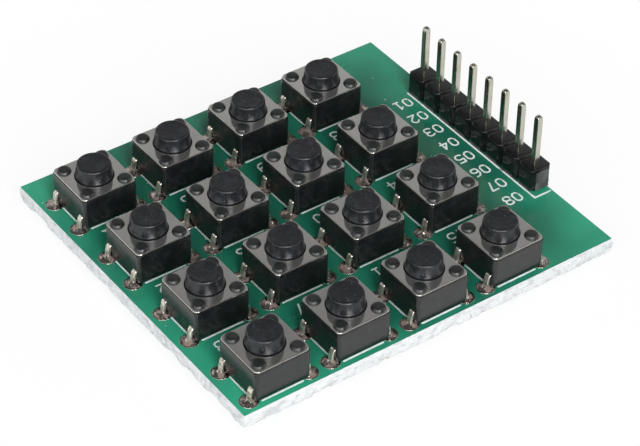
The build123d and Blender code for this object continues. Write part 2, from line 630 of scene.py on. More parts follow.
SHEARED_STEEL = BrightMetal.of(
    "sheared_steel", (104, 102, 98), (70, 68, 64), (0.4, 0.7, 2.0), (0.4, 0.55), (6.0, 0.02))
DOME_STEEL = BrightMetal.of(
    "dome_steel", (205, 203, 198), (150, 145, 136), (0.5, 0.75, 0.8), (0.2, 0.3), (3.0, 0.004))
TIN = BrightMetal.of(
    "tin", (232, 227, 216), (164, 154, 140), (0.46, 0.62, 2.2), (0.24, 0.38), (2.6, 0.05), 0.85)
PIN_TIN = BrightMetal.of(
    "pin_tin", (193, 192, 180), (172, 170, 156), (0.5, 0.75, 0.6), (0.16, 0.24), (1.4, 0.006))
SOLDER = BrightMetal.of(
    "solder", (214, 212, 208), (150, 146, 142), (0.5, 0.7, 1.2), (0.14, 0.3), (1.6, 0.05))
FLUXED = FluxedSolder.of("fluxed_solder", (202, 192, 184), (142, 125, 117))
FLUX_RING = FluxedSolder.of("flux_ring", (176, 166, 160), (88, 76, 71))
PAPER = StudioFloor("studio_floor", (250, 250, 250), ((Patches(0.02, 3.0), (246, 246, 246)),))


# Where things are


@dataclass(frozen=True)
class Cell:
    """One switch's row and column, and the middle of its base on the board, in millimetres."""

    row: int
    column: int
    x: float
    y: float

    @property
    def tag(self) -> str:
        """The ending that the switch's nodes share."""
        return f"r{self.row}c{self.column}"


@dataclass(frozen=True)
class Layout:
    """Places and levels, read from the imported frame, in millimetres."""

    rows: int = 4
    columns: int = 4
    edge_web: float = 0.15
    leg_place: Pair = (2.25, 3.25)
    pins: int = 8
    pin_pitch: float = 2.54

    def span(self, node: str) -> tuple[Array, Array]:
        """Lowest and highest corner of a node."""
        low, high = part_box(node)
        return np.array(low) / MM, np.array(high) / MM

    @property
    def board(self) -> tuple[Array, Array]:
        """Left front lower and right back upper corner of the board's flat faces."""
        (low, high), web = self.span("circuit_board"), (self.edge_web, self.edge_web, 0)
        return low + web, high - web

    @property
    def top(self) -> float:
        """Height of the board's upper face."""
        return self.board[1][2]

    def cells(self) -> list[Cell]:
        """Every switch, row by row.

        Returns:
            The switches.
        """
        found = []
        for row in range(1, self.rows + 1):
            for column in range(1, self.columns + 1):
                low, high = self.span(f"switch_base_r{row}c{column}")
                found.append(Cell(row, column, (low[0] + high[0]) / 2, (low[1] + high[1]) / 2))
        return found

    def legs(self, cell: Cell) -> list[Pair]:
        """Middles of one switch's four legs on the board."""
        return [(cell.x + x, cell.y + y) for x, y in four_corners(*self.leg_place)]

    def pin_places(self) -> Array:
        """Middle of each header pin on the board, one row each.

        Returns:
            The places.
        """
        low, high = self.span("header_pins")
        middle = (low + high) / 2
        step = np.arange(self.pins) - (self.pins - 1) / 2
        return np.c_[middle[0] + step * self.pin_pitch, np.full(self.pins, middle[1])]


# The pieces


@dataclass(frozen=True)
class Assembly:
    """A part of the keypad, built where the layout says."""

    layout: Layout


@dataclass(frozen=True)
class Board(Assembly):
    """The circuit board: level masked faces, a hole for each leg and pin, and snapped edges."""

    leg_hole_radius: float = 0.42
    pin_hole_radius: float = 0.5
    hole_sides: int = 20
    step: float = 0.12
    web_slope: float = 0.25
    web_end: float = 1.05
    web_out: Triple = (0.08, 0.06, 0.05)  # level, coarse waves and fine waves
    chip: float = 0.3
    chip_start: float = 0.55
    nick_share: float = 0.4

    def holes(self) -> list[Array]:
        """Outlines of all holes.

        Returns:
            The legs' holes, then the pins'.
        """
        legs = [place for cell in self.layout.cells() for place in self.layout.legs(cell)]
        places = [(self.leg_hole_radius, place) for place in legs]
        places += [(self.pin_hole_radius, tuple(place)) for place in self.layout.pin_places()]
        return [circle(radius, self.hole_sides, place) for radius, place in places]

    def outline(self) -> tuple[Array, Array]:
        """Points along the four sides and the way out of the board at each.

        Returns:
            The points, and the outward direction at each, which leans both ways at a corner.
        """
        low, high = self.layout.board
        corner = np.array([[low[0], low[1]], [high[0], low[1]], [high[0], high[1]], [low[0], high[1]]])
        outward = np.array([[0, -1], [1, 0], [0, 1], [-1, 0]])
        points, ways = [], []
        for side in range(4):
            start, end = corner[side], corner[(side + 1) % 4]
            count = int(np.linalg.norm(end - start) / self.step)
            share = np.arange(count)[:, None] / count
            way = np.repeat(outward[side][None, :], count, 0).astype(float)
            way[0] = outward[side] + outward[side - 1]
            points.append(start + share * (end - start))
            ways.append(way)
        return np.concatenate(points), np.concatenate(ways)

    def edge_rings(self) -> Array:
        """Rings of the snapped edge from its top down.

        How far out a point stands is a smooth rise to the rough middle web and a fall back below it, plus
        uneven heights at two scales in the web, minus chips that grow towards the lower face. It never
        stands out past the web.

        Returns:
            Array of ring, point and coordinate.
        """
        points, ways = self.outline()
        depth = [0, 0.03, 0.09, *np.arange(0.16, 0.31, 0.07), *np.arange(0.38, 0.87, 0.08), 0.93, 0.98, 1]
        down, run = np.meshgrid(depth, np.arange(len(points)) * self.step, indexing="ij")

        def uneven(seed: int, length: float, layers: float) -> Array:
            """Heights with steps so long along the edge, and so many layers in the board's thickness."""
            return RoughField(seed, 1024).sample(run / length, down * layers)

        rise = np.clip(down / self.web_slope, 0, 1) * np.clip((self.web_end - down) / self.web_slope, 0, 1)
        torn = np.clip(uneven(13, 1.3, 0) - 0.05, 0, 1)
        nicked = np.clip(uneven(14, 0.4, 3) - 0.1, 0, 1)
        low = np.clip((down - self.chip_start) / (1 - self.chip_start), 0, 1) ** 1.5
        level, coarse, fine = self.web_out
        out = rise * (level + coarse * uneven(11, 0.9, 2.3) + fine * uneven(12, 0.28, 6))
        out = np.minimum(out - self.chip * (torn + self.nick_share * nicked) * low, self.layout.edge_web)
        bottom, top = (corner[2] for corner in self.layout.board)
        flat = points[None, :, :] + out[:, :, None] * ways[None, :, :]
        return np.concatenate([flat, (top + (bottom - top) * down)[:, :, None]], 2)

    def build(self) -> None:
        """Makes the board and lets it stand for its node."""
        shell = Shell("board", [GREEN_MASK, LAMINATE, TIN])
        rings, holes = self.edge_rings(), self.holes()
        bottom, top = (corner[2] for corner in self.layout.board)
        shell.flat(rings[0, :, :2], holes, top)
        shell.flat(rings[-1, :, :2], holes, bottom)
        shell.grid(rings, finish=1)
        for hole in holes:
            shell.grid(stacked((hole, top), (hole, bottom)), finish=2)
        board = shell.build()
        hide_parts("circuit_board")
        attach(board, "module")


@dataclass(frozen=True)
class StrokeFigures:
    """Figures drawn with single strokes, as on printed boards, each 0.6 wide and 1 high before scaling."""

    height: float
    stroke: float
    wide: float = 0.6
    gap: float = 0.32

    @staticmethod
    def strokes(figure: str) -> list[list[Pair]]:
        """The lines of one figure.

        Args:
            figure: A figure from 0 to 9.

        Returns:
            The points of each line.
        """
        bowl = [(0.0, 0.35), (0.0, 0.15), (0.15, 0.0), (0.45, 0.0), (0.6, 0.15),
                (0.6, 0.35), (0.45, 0.5), (0.15, 0.5), (0.0, 0.35)]
        upper = [(x, 1 - y) for x, y in bowl]
        shapes = {
            "0": [[(0, 0.2), (0, 0.8), (0.18, 1), (0.42, 1), (0.6, 0.8), (0.6, 0.2), (0.42, 0), (0.18, 0),
                   (0, 0.2)]],
            "1": [[(0.1, 0.78), (0.32, 1), (0.32, 0)], [(0.1, 0), (0.54, 0)]],
            "2": [[(0, 0.8), (0.18, 1), (0.42, 1), (0.6, 0.8), (0.6, 0.6), (0, 0), (0.6, 0)]],
            "3": [[(0, 0.88), (0.15, 1), (0.45, 1), (0.6, 0.85), (0.6, 0.65), (0.45, 0.52), (0.22, 0.52)],
                  [(0.45, 0.52), (0.6, 0.38), (0.6, 0.15), (0.45, 0), (0.15, 0), (0, 0.12)]],
            "4": [[(0.45, 0), (0.45, 1), (0, 0.3), (0.62, 0.3)]],
            "5": [[(0.58, 1), (0.05, 1), (0, 0.56), (0.4, 0.6), (0.6, 0.44), (0.6, 0.16), (0.42, 0),
                   (0.12, 0), (0, 0.1)]],
            "6": [bowl, [(0, 0.35), (0, 0.7), (0.2, 0.96), (0.5, 1)]],
            "7": [[(0, 1), (0.6, 1), (0.2, 0)]],
            "8": [bowl, upper],
            "9": [upper, [(0.6, 0.65), (0.6, 0.3), (0.4, 0.04), (0.1, 0)]],
        }
        return shapes[figure]

    def lines(self, number: str, centre: Pair) -> list[Line]:
        """Strokes of a number that reads towards the front edge, with its top towards the right.

        Args:
            number: The figures.
            centre: Middle of the number on the board, in millimetres.

        Returns:
            Each line's points and its width.
        """
        width = (len(number) - 1) * (self.wide + self.gap) + self.wide
        found = []
        for place, figure in enumerate(number):
            for line in self.strokes(figure):
                points = np.array(line, dtype=float)
                along = (points[:, 0] + place * (self.wide + self.gap) - width / 2) * self.height
                up = (points[:, 1] - 0.5) * self.height
                found.append((np.c_[centre[0] + up, centre[1] - along], self.stroke))
        return found


@dataclass(frozen=True)
class PrintedMarks(Assembly):
    """White print: a broken square round each switch, a line round the header, and plain numbers."""

    square: float = 2.86
    front_reach: float = 1.3
    side_reach: float = 2.2
    line: float = 0.2
    thickness: float = 0.014
    step_up: float = 0.0004
    numbers: StrokeFigures = StrokeFigures(1.3, 0.18)
    number_place: Pair = (4.45, -0.7)
    labels: StrokeFigures = StrokeFigures(1.2, 0.19)
    label_place: Pair = (0.35, -2.85)
    label_drift: Pair = (0.06, -0.05)
    header_line_back: float = 1.33
    header_line_past: Pair = (0.87, 1.9)
    header_line_stop: float = 0.25
    # painted highlight: a dash of ink beside each web between two units, for light that reaches the line
    # through the arch under the web
    arch_light: Triple = (0.36, 0.45, 0.02)  # start, end and height over the line
    arch_light_width: float = 0.26

    def round_switch(self, cell: Cell) -> list[Line]:
        """Lines round one switch, and its number where another switch follows in its row.

        Args:
            cell: The switch.

        Returns:
            Each line's points and width.
        """
        found = []
        for edge in (-self.square, self.square):
            found.append(([[-self.front_reach, edge], [self.front_reach, edge]], self.line))
            found.append(([[edge, -self.side_reach], [edge, self.side_reach]], self.line))
        found = [(np.array([cell.x, cell.y]) + points, width) for points, width in found]
        if cell.column < self.layout.columns:
            number = str((cell.row - 1) * self.layout.columns + cell.column)
            place = (cell.x + self.number_place[0], cell.y + self.number_place[1])
            found += self.numbers.lines(number.zfill(2), place)
        return found

    def round_header(self) -> list[Line]:
        """The line round the header, a dash of ink between each two pins as a painted highlight, and the
        pins' numbers.

        Returns:
            Each line's points and width.
        """
        pins, back = self.layout.pin_places(), self.layout.board[1][1]
        y = pins[0, 1] - self.header_line_back
        left, right = pins[0, 0] - self.header_line_past[0], pins[-1, 0] + self.header_line_past[1]
        found = [(np.array([[left, y], [right, y], [right, back - self.header_line_stop]]), self.line)]
        start, end, up = self.arch_light
        # painted highlight: dashes of ink beside the webs, where light comes through the arches
        for x in pins[:, 0] + self.layout.pin_pitch / 2:
            found.append((np.array([[x + start, y + up], [x + end, y + up]]), self.arch_light_width))
        for index, pin in enumerate(pins):
            across, up = (a + b + c * index for a, b, c in zip(pin, self.label_place, self.label_drift))
            found += self.labels.lines(f"{index + 1:02d}", (across, up))
        return found

    def build(self) -> None:
        """Makes the print. Each straight stretch is a thin plate with round ends."""
        shell = Shell("print", [WHITE_INK])
        lines = [line for cell in self.layout.cells() for line in self.round_switch(cell)]
        lines += self.round_header()
        runs = [(a, b, width) for points, width in lines for a, b in zip(points[:-1], points[1:])]
        starts, ends = np.array([r[0] for r in runs]), np.array([r[1] for r in runs])
        half = np.array([r[2] for r in runs])[:, None, None] / 2
        along = (ends - starts) / np.linalg.norm(ends - starts, axis=1)[:, None]
        side = np.c_[-along[:, 1], along[:, 0]]
        angle = np.linspace(-TURN / 4, TURN / 4, 6)[None, :, None]
        cap = along[:, None, :] * np.cos(angle) + side[:, None, :] * np.sin(angle)
        rim = np.concatenate([ends[:, None] + cap * half, starts[:, None] - cap * half], 1)
        middle = np.repeat(((starts + ends) / 2)[:, None, :], rim.shape[1], 1)
        low, lift = self.layout.top, self.thickness + self.step_up * (np.arange(len(runs)) % 7)
        for inner, outer, high in zip(middle, rim, low + lift):
            shell.grid(stacked((inner, low), (outer, low), (outer, high), (inner, high)))
        marks = shell.build()
        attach(marks, "module")


@dataclass(frozen=True)
class SolderJoints(Assembly):
    """Solder that fills the holes: a tinned ring and a lumpy dish above the board, and a cone below it."""

    ring: float = 0.95
    dish_rings: int = 7
    lump: float = 0.06
    lumps: Pair = (5, 4)  # round the joint, and in a millimetre outwards
    lump_step: Pair = (7.3, 3.1)  # from one joint's lumps to the next one's
    fade: Pair = (0.1, 0.2)  # end of the lumps inside the ring, and length of their fading
    sides: int = 22

    def profiles(self) -> tuple[list[Pair], list[Pair]]:
        """Radius and height from the middle of the dish to its rim, and from the cone's rim to its point.

        Returns:
            The dish and the cone.
        """
        dish = [(0, 0.34), (0.15, 0.33), (0.28, 0.26), (0.4, 0.19), (0.52, 0.14), (0.64, 0.095),
                (0.74, 0.055), (0.8, 0.035), (0.86, 0.035), (0.91, 0.03), (0.945, 0.016), (0.95, -0.002)]
        cone = [(0.95, 0.002), (0.94, -0.04), (0.82, -0.1), (0.62, -0.24), (0.46, -0.46), (0.36, -0.68),
                (0.26, -0.82), (0.12, -0.88), (0, -0.9)]
        bottom, top = (corner[2] for corner in self.layout.board)
        return [(r, top + z) for r, z in dish], [(r, bottom + z) for r, z in cone]

    def lumpy(self, profile: list[Pair], place: Pair, index: int) -> Array:
        """A turned form with uneven lumps in its height, which fade out towards the ring.

        Args:
            profile: Pairs of radius and height.
            place: Middle of the joint on the board.
            index: The joint's number, which picks its lumps.

        Returns:
            Array of ring, point and coordinate.
        """
        rings = turned(profile, self.sides)
        radius = np.array([r for r, _ in profile])[:, None]
        angle = np.broadcast_to(np.arange(self.sides) / self.sides * self.lumps[0], rings.shape[:2])
        across = radius * self.lumps[1] + index * self.lump_step[1] + np.zeros(rings.shape[:2])
        inner = np.clip((self.ring - self.fade[0] - radius) / self.fade[1], 0, 1)
        rough = RoughField(21).sample(angle + index * self.lump_step[0], across)
        rings[:, :, 2] += self.lump * rough * inner
        rings[:, :, :2] += place
        return rings

    def build(self) -> None:
        """Makes one piece of solder for each row of switches and one for the header."""
        dish, cone = self.profiles()
        groups: dict[str, list[Pair]] = {}
        for cell in self.layout.cells():
            groups.setdefault(f"solder_r{cell.row}", []).extend(self.layout.legs(cell))
        groups["solder_header"] = [tuple(place) for place in self.layout.pin_places()]
        for name, places in groups.items():
            shell = Shell(name, [FLUXED, FLUX_RING, SOLDER])
            for index, place in enumerate(places):
                upper = self.lumpy(dish, place, index)
                shell.grid(upper[:self.dish_rings + 1])
                shell.grid(upper[self.dish_rings:], finish=1)
                shell.grid(self.lumpy(cone, place, index), finish=2)
            piece = shell.build(60)
            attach(piece, "module")


@dataclass(frozen=True)
class SwitchPart(Assembly):
    """What the parts of a switch share: the heights where they meet, and the place of the posts."""

    cavity_floor: float = 2.15
    base_top: float = 3.45
    cover_top: float = 3.7
    stake_place: float = 2.1

    def place(self, cell: Cell) -> Array:
        """The middle of a switch on the board's upper face."""
        return np.array([cell.x, cell.y, self.layout.top])


@dataclass(frozen=True)
class SwitchBase(SwitchPart):
    """A switch's moulded base: a rounded box with a round cavity, and four posts with melted heads."""

    width: float = 5.98
    corner: float = 0.4
    pad_width: float = 3.4
    pad_corner: float = 0.2
    bottom: float = 0.3
    foot_edge: float = 0.06
    top_edge: float = 0.03
    cavity_radius: float = 2.17
    stake_radius: float = 0.37
    stake_sides: int = 28

    def stake(self) -> Array:
        """A post and its head: a short cone with a rounded foot and a rounded, nearly level top.

        Returns:
            Array of ring, point and coordinate.
        """
        low, top, radius = self.base_top - 0.05, self.cover_top, self.stake_radius
        head = [(0.68, 0), (0.704, 0.012), (0.712, 0.035), (0.708, 0.06), (0.69, 0.093), (0.65, 0.153),
                (0.612, 0.212), (0.585, 0.243), (0.54, 0.272), (0.46, 0.29), (0.35, 0.298), (0.2, 0.3),
                (0.1, 0.3), (0, 0.299)]
        profile = [(0, low), (radius, low), (radius, top), *((r, top + z) for r, z in head)]
        return turned(profile, self.stake_sides)

    def build(self, cell: Cell) -> None:
        """Makes one switch's base.

        Args:
            cell: The switch.
        """
        shell = Shell(f"base_{cell.tag}", [BASE_PLASTIC, MELTED_PLASTIC])
        outline = rounded_square(self.width, self.corner)
        pad = rounded_square(self.pad_width, self.pad_corner)
        walls = wall_rings(outline, self.bottom, self.base_top, self.foot_edge, self.top_edge)
        angle = np.arctan2(outline[:, 1], outline[:, 0])
        cavity, middle = self.cavity_radius * np.c_[np.cos(angle), np.sin(angle)], outline * 0
        under = stacked((middle, 0.0), (pad, 0.0), (pad, self.bottom))
        inside = stacked((cavity, self.base_top), (cavity, self.cavity_floor), (middle, self.cavity_floor))
        place = self.place(cell)
        shell.grid(np.concatenate([under, walls, inside]) + place)
        for x, y in four_corners(self.stake_place, self.stake_place):
            shell.grid(self.stake() + place + (x, y, 0), finish=1)
        piece = shell.build()
        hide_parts(f"switch_base_{cell.tag}")
        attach(piece, "module")


@dataclass(frozen=True)
class SwitchCover(SwitchPart):
    """A switch's bright cover: a flat sheared plate with a button hole and four holes for the posts."""

    width: float = 5.94
    corner: float = 0.52
    hole_radius: float = 1.92
    hole_edge: float = 0.04
    hole_sides: int = 72
    stake_hole_radius: float = 0.42
    stake_hole_edge: float = 0.01
    stake_hole_sides: int = 16
    sheared: float = 0.02
    sheared_rings: int = 6
    rolled: float = 0.07

    def build_row(self, row: int, cells: list[Cell]) -> None:
        """Makes the covers of one row.

        Args:
            row: The row's number.
            cells: Its switches.
        """
        shell = Shell(f"covers_r{row}", [COVER_STEEL, SHEARED_STEEL])
        outline = rounded_square(self.width, self.corner)
        holes = [(circle(self.hole_radius, self.hole_sides), self.hole_edge)]
        for place in four_corners(self.stake_place, self.stake_place):
            hole = circle(self.stake_hole_radius, self.stake_hole_sides, place)
            holes.append((hole, self.stake_hole_edge))
        for cell in cells:
            *place, level = self.place(cell)
            bottom, top = level + self.base_top, level + self.cover_top
            walls = wall_rings(outline + place, bottom, top, self.sheared, self.rolled)
            bores = [wall_rings(hole + place, bottom, top, -edge, -edge) for hole, edge in holes]
            shell.grid(walls[:self.sheared_rings + 1], finish=1)
            shell.grid(walls[self.sheared_rings:])
            for bore in bores:
                shell.grid(bore)
            shell.flat(walls[0, :, :2], [b[0, :, :2] for b in bores], bottom)
            shell.flat(walls[-1, :, :2], [b[-1, :, :2] for b in bores], top)
        piece = shell.build()
        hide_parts(f"switch_covers_r{row}")
        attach(piece, "module")


@dataclass(frozen=True)
class SwitchButton(SwitchPart):
    """A switch's button: a tapered plunger with a rolled rim and a slightly dished top, on a wide flange."""

    flange_bottom: float = 2.75
    flange_radius: float = 2.07
    foot_radius: float = 1.79
    skirt_radius: float = 1.835
    top_radius: float = 1.69
    top: float = 5.2
    rim: float = 0.2
    sides: int = 72

    def profile(self) -> list[Pair]:
        """Radius and height from the flange's middle, out and up to the middle of the top.

        Returns:
            The pairs.
        """
        wide, low, base = self.flange_radius, self.flange_bottom, self.base_top
        foot, skirt, edge, top = self.foot_radius, self.skirt_radius, self.top_radius, self.top
        flange = [(0, low), (wide - 0.06, low), (wide, low + 0.06), (wide, base - 0.05), (wide - 0.05, base),
                  (foot + 0.02, base)]
        side = [(foot, 0.03), (foot, 0.24), (skirt - 0.015, 0.29), (skirt, 0.36), (skirt - 0.003, 0.5),
                (skirt - 0.015, 0.58), (skirt - 0.035, 0.68)]
        side = [(radius, base + height) for radius, height in side] + [(edge + 0.012, top - 0.27)]
        rim = [(edge - self.rim * (1 - math.cos(a)), top - self.rim * (1 - math.sin(a)))
               for a in np.linspace(math.radians(8), TURN / 4, 8)]
        flat = edge - self.rim
        dish = [(flat - 0.03, top), (flat - 0.3, top - 0.008), (0.7, top - 0.022), (0, top - 0.028)]
        return [*flange, *side, *rim, *dish]

    def build(self, cell: Cell) -> None:
        """Makes the button of a switch, which moves with its own body.

        Args:
            cell: The switch.
        """
        shell = Shell(f"plunger_{cell.tag}", [BUTTON_PLASTIC])
        shell.grid(turned(self.profile(), self.sides) + self.place(cell))
        piece = shell.build(24)
        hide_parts(f"button_{cell.tag}")
        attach(piece, f"button_{cell.tag}")


@dataclass(frozen=True)
class SnapDome(SwitchPart):
    """A switch's snap dome: a thin sprung shell, made here at rest, which on the switch flattens as the
    button above it goes down.
    """

    rim_radius: float = 2.0
    top: float = 2.745
    thickness: float = 0.08
    rim_height: float = 0.02
    sides: int = 36
    pressed_share: float = 0.58

    def profile(self) -> list[Pair]:
        """Radius and height of the hollow face from its middle out, then of the outer face back in.

        Each face is a parabola: its height falls with the square of the distance from the middle.

        Returns:
            The pairs.
        """
        share = np.linspace(0, 1, 13)
        hollow, rise = self.top - self.thickness, self.top - self.cavity_floor
        inner = np.c_[(self.rim_radius - 0.04) * share, hollow - (rise - self.thickness) * share**2]
        outer = np.c_[self.rim_radius * share, self.top - (rise - self.rim_height) * share**2]
        return [tuple(point) for point in np.concatenate([inner, outer[::-1]])]

    def build(self, cell: Cell) -> None:
        """Makes the dome of a switch, at rest.

        Args:
            cell: The switch.
        """
        shell = Shell(f"sprung_dome_{cell.tag}", [DOME_STEEL])
        place = self.place(cell)
        shell.grid(turned(self.profile(), self.sides) + place)
        piece = shell.build(24)
        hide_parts(f"snap_dome_{cell.tag}")
        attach(piece, "module")
        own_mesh(piece)


@dataclass(frozen=True)
class TerminalStrips(Assembly):
    """Tinned brass strips: each runs under its switch and bends down at both ends into a leg."""

    width: float = 0.6
    thickness: float = 0.25
    crease: float = 0.02
    level: float = 1.475

    def path(self, tip: float) -> Array:
        """The strip's middle line from one tip to the other.

        Each half is a straight run inside the base, a bend out and down close to the wall, a slant away from
        the wall, and a straight leg. The bends are cubic curves between four points.

        Args:
            tip: Height of the tips.

        Returns:
            Distance from the switch's middle and height of each point.
        """
        foot, level = self.layout.leg_place[1], self.level
        share = np.linspace(0, 1, 9)[:, None]
        weights = np.c_[(1 - share) ** 3, 3 * share * (1 - share) ** 2, 3 * share**2 * (1 - share), share**3]
        bend = weights @ np.array([[2.7, level], [3.0, level + 0.01], [3.07, 1.38], [3.12, 1.12]])
        curve = weights @ np.array([[3.12, 1.12], [3.19, 0.76], [foot + 0.01, 0.6], [foot, 0.1]])
        leg = [[foot, height] for height in (-0.9, tip + 0.5, tip + 0.18, tip + 0.04, tip)]
        half = np.concatenate([[[0.0, level]], bend, curve[1:], leg])
        return np.concatenate([half[::-1], half[1:] * (-1, 1)])

    def section(self) -> Array:
        """The strip's cross-section, with a creased outer face.

        Returns:
            How far out of its face and how far across it each point is.
        """
        across = np.array([-1, -0.9, -0.4, 0, 0.4, 0.9, 1, 1, 0.93, 0, -0.93, -1]) * self.width / 2
        out = np.array([0.75, 1, 1, 1, 1, 1, 0.75, -0.75, -1, -1, -1, -0.75]) * self.thickness / 2
        crease = np.where(np.arange(12) == 3, self.crease, 0)
        return np.c_[out + crease - self.crease / 2, across]

    def strip(self, tip: float) -> Array:
        """Carries the section along the path: each ring lies square to the path's direction there.

        Args:
            tip: Height of the tips.

        Returns:
            Array of ring, point and coordinate.
        """
        path, section = self.path(tip), self.section()
        run = np.gradient(path, axis=0)
        run /= np.linalg.norm(run, axis=1)[:, None]
        out = np.c_[run[:, 1], -run[:, 0]]
        taper = np.ones(len(path))
        taper[[0, -1]], taper[[1, -2]] = 0.55, 0.75
        flat = path[:, None, :] + section[None, :, 0, None] * out[:, None, :]
        rings = np.stack([section[None, :, 1] * taper[:, None], flat[:, :, 0], flat[:, :, 1]], -1)
        middle = rings.mean(1, keepdims=True)
        caps = [np.repeat(middle[i], rings.shape[1], 0)[None] for i in (0, -1)]
        return np.concatenate([caps[0], rings, caps[1]])

    def build_row(self, row: int, cells: list[Cell]) -> None:
        """Makes the strips of one row of switches.

        Args:
            row: The row's number.
            cells: Its switches.
        """
        level, across = self.layout.top, self.layout.leg_place[0]
        shell = Shell(f"terminals_r{row}", [TIN])
        strip = self.strip(self.layout.span(f"switch_terminals_r{row}")[0][2] - level)
        for cell in cells:
            for x in (cell.x - across, cell.x + across):
                shell.grid(strip + (x, cell.y, level))
        piece = shell.build(40)
        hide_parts(f"switch_terminals_r{row}")
        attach(piece, "module")


@dataclass(frozen=True)
class Header(Assembly):
    """The pin header: moulded units joined by notched webs, torn at the ends, and square pins."""

    width: float = 2.5
    height: float = 2.5
    notch: float = 0.45
    notch_at_foot: float = 0.1
    groove: Pair = (0.17, 0.12)  # reach from the web, and depth
    arch: Triple = (0.16, 0.3, 0.5)  # rise, and reach of its level part and of its slope
    edge: float = 0.05
    torn: Triple = (0.16, 0.07, 0.045)  # swelling, coarse lumps and fine lumps
    torn_depth: float = 0.03
    torn_margin: float = 0.02
    torn_points: int = 34
    pin_width: float = 0.64
    pin_corner: float = 0.07
    point: float = 0.62
    point_width: float = 0.16

    def stations(self) -> tuple[Array, Array]:
        """Places of the strip's cross-sections.

        Returns:
            Each place along the header, and its distance from the nearest web between two units.
        """
        half, (_, inner, outer) = self.layout.pin_pitch / 2, self.arch
        away = np.array([0, self.groove[0], inner, self.notch, self.notch + 0.04, outer, outer + 0.05, half])
        unit = np.concatenate([away - half, half - away[-2::-1]])
        from_web = np.concatenate([away, away[-2::-1]])
        pins = self.layout.pin_places()[:, 0]
        return (pins[:, None] + unit[None, :]).ravel(), np.tile(from_web, len(pins))

    def rings(self, bottom: float) -> Array:
        """Cross-sections of the strip: a rectangle with rounded corners at each station.

        Near a web its sides come in along a straight notch, less so at the foot, its top dips into a groove,
        and its foot rises to the arch under the web. Each is a straight rise and fall with the distance from
        the web.

        Args:
            bottom: Height of the strip's lower face.

        Returns:
            Array of ring, point and coordinate.
        """
        x, away = self.stations()
        pins, near_web = self.layout.pin_places()[:, 0], np.clip(1 - away / self.notch, 0, 1)
        half = self.width / 2 - self.notch * near_web
        at_foot = np.where((x < pins[0]) | (x > pins[-1]), self.notch, self.notch_at_foot)
        foot = self.width / 2 - at_foot * near_web
        top = bottom + self.height - self.groove[1] * np.clip(1 - away / self.groove[0], 0, 1)
        rise, inner, outer = self.arch
        low = bottom + rise * np.clip((outer - away) / (outer - inner), 0, 1)
        angle = np.linspace(0, TURN / 4, 4)[None, :] + np.arange(4)[:, None] * TURN / 4
        side, up = np.array([1, -1, -1, 1])[:, None], np.array([1, 1, -1, -1])[:, None]
        half, foot, top, low = (values[:, None, None] for values in (half, foot, top, low))
        y = side * (np.where(up > 0, half, foot) - self.edge) + self.edge * np.cos(angle)
        z = np.where(up > 0, top - self.edge, low + self.edge) + self.edge * np.sin(angle)
        y, z = y.reshape(len(x), -1), z.reshape(len(x), -1)
        return np.stack([np.broadcast_to(x[:, None], y.shape), y + self.layout.pin_places()[0, 1], z], -1)

    def torn_end(self, side: int, ring: Array) -> tuple[Array, Array]:
        """A rough lump where the strip was snapped off: a grid over the end whose height is a swelling with
        uneven heights at two scales, which falls to nothing at its rim, and a flat sheet behind it.

        Args:
            side: Which end, minus one or one.
            ring: The strip's last cross-section there.

        Returns:
            The outer and the inner sheet, which share their rims.
        """
        x, bottom, top = ring[0, 0], ring[:, 2].min(), ring[:, 2].max()
        count, margin = self.torn_points, self.torn_margin
        across, up = np.meshgrid(np.linspace(-1, 1, count), np.linspace(0, 1, count), indexing="ij")
        rim = np.clip((1 - np.abs(across)) * 9, 0, 1) * np.clip(np.minimum(up, 1 - up) * 18, 0, 1)
        coarse = RoughField(31 + side).sample(across * 3 + 9, up * 5)
        fine = RoughField(37 + side).sample(across * 10 + 20, up * 14)
        swell = rim * (self.torn[0] + self.torn[1] * coarse + self.torn[2] * fine) - self.torn_depth
        y = self.layout.pin_places()[0, 1] + across * (self.width / 2 - self.notch + margin)
        z = bottom + margin + up * (top - bottom - 2 * margin)
        behind = np.full_like(y, x - side * self.torn_depth)
        return np.stack([x + side * swell, y, z], -1), np.stack([behind, y, z], -1)

    def build_housing(self) -> None:
        """Makes the moulded strip and the torn faces at its ends."""
        shell = Shell("header_strip", [HEADER_PLASTIC, SNAPPED_PLASTIC])
        rings = self.rings(self.layout.top)
        ends = [np.broadcast_to(ring.mean(0), ring.shape)[None] for ring in (rings[0], rings[-1])]
        shell.grid(np.concatenate([ends[0], rings, ends[1]]))
        for side, ring in ((-1, rings[0]), (1, rings[-1])):
            for sheet in self.torn_end(side, ring):
                shell.grid(sheet, Loop.OPEN, 1)
        piece = shell.build(20)
        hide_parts("header_housing")
        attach(piece, "module")

    def build_pins(self) -> None:
        """Makes the pins: a rounded square whose width falls along a quarter of an ellipse at each end."""
        low, high = self.layout.span("header_pins")
        angle = np.linspace(0, TURN / 4, 9)
        blunt = self.point_width + (1 - self.point_width) * np.sqrt(np.cos(angle))
        reach = self.point * np.sin(angle)
        heights = np.concatenate([low[2] + self.point - reach[::-1], high[2] - self.point + reach])
        section = rounded_square(self.pin_width, self.pin_corner, 4)
        scales, levels = [0.0, *blunt[::-1], *blunt, 0.0], [heights[0], *heights, heights[-1]]
        pin = stacked(*((section * scale, level) for scale, level in zip(scales, levels)))
        shell = Shell("pins", [PIN_TIN])
        for x, y in self.layout.pin_places():
            shell.grid(pin + (x, y, 0))
        piece = shell.build(38)
        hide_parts("header_pins")
        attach(piece, "module")


# Camera, light and floor


def towards(azimuth: float, elevation: float) -> Vector:
    """The direction of a compass angle from the front and a height, both in degrees."""
    a, e = math.radians(azimuth), math.radians(elevation)
    return Vector((math.sin(a) * math.cos(e), -math.cos(a) * math.cos(e), math.sin(e)))


